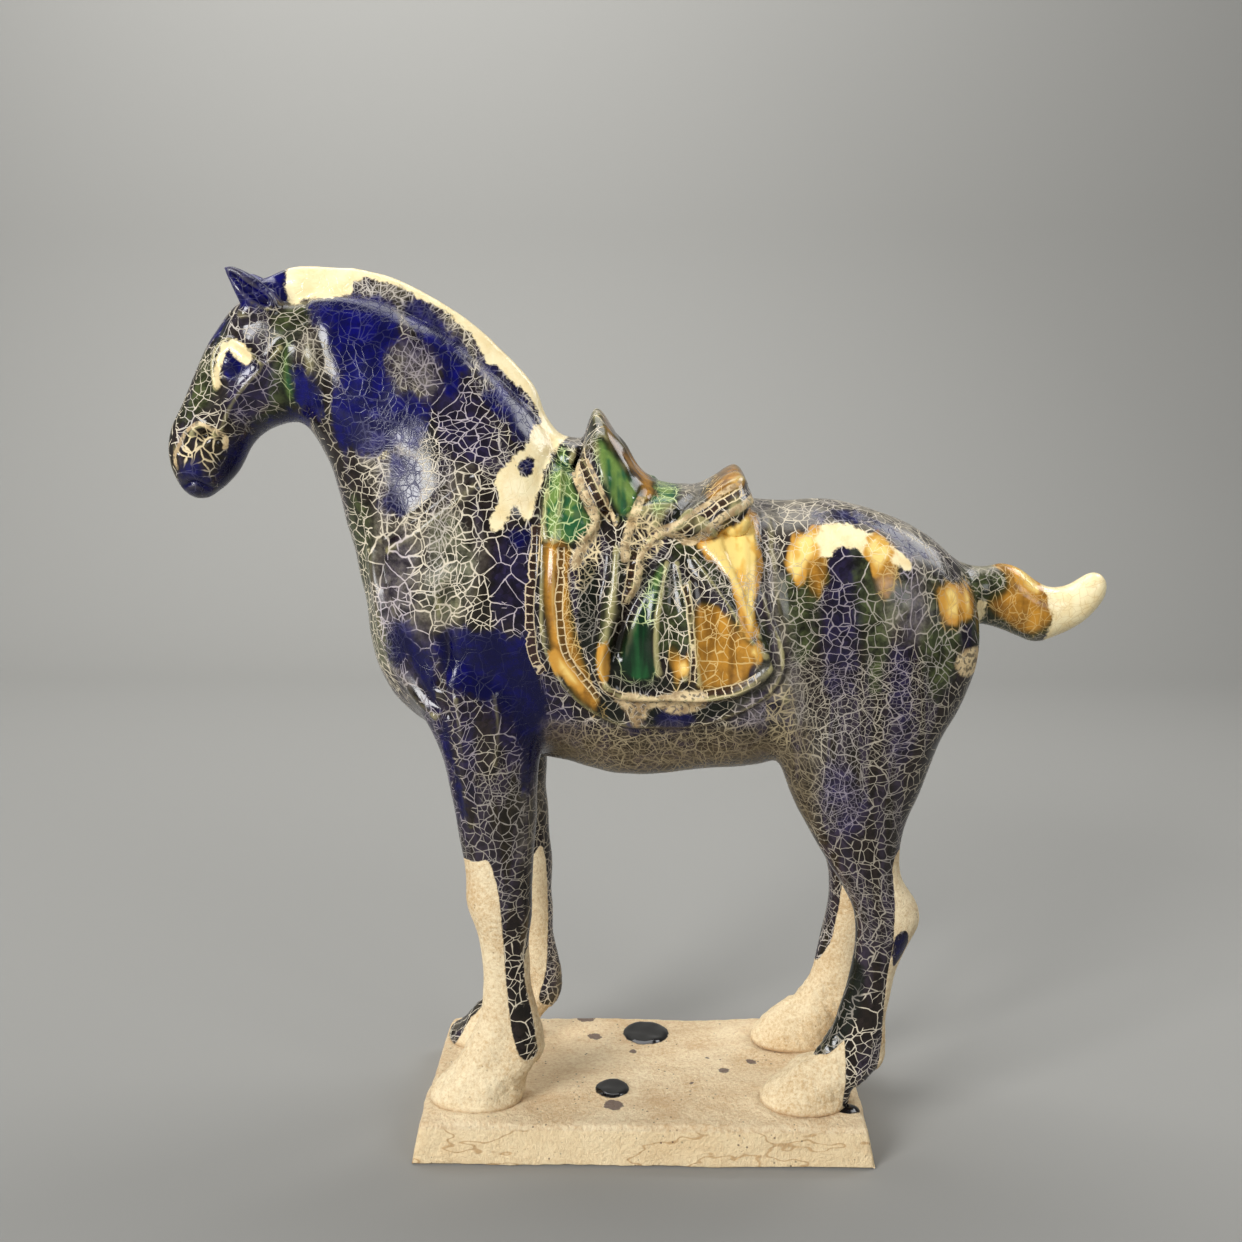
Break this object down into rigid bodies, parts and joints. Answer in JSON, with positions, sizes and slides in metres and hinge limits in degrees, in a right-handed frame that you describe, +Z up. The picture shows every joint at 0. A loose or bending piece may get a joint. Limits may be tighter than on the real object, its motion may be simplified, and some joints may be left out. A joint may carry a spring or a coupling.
{
  "type": "chinese tomb horse",
  "caption": "Standing saddled horse of glazed earthenware on a rectangular bare clay slab, with hogged mane, short upturned tail and a draped saddle-cloth.",
  "frame": {"origin": "centre of the slab's underside", "axes": "+Z up, -X towards the horse's head, -Y the horse's left side"},
  "size_m": [0.4089, 0.113, 0.3803],
  "materials": {
    "glazed_body": "glossy lead glaze, deep blue, green, amber and cream, finely crackled",
    "bare_clay": "unglazed buff clay, rough and matt"
  },
  "bodies": {
    "root": {"horse": "glazed_body", "plinth": "bare_clay"}
  },
  "joints": []
}
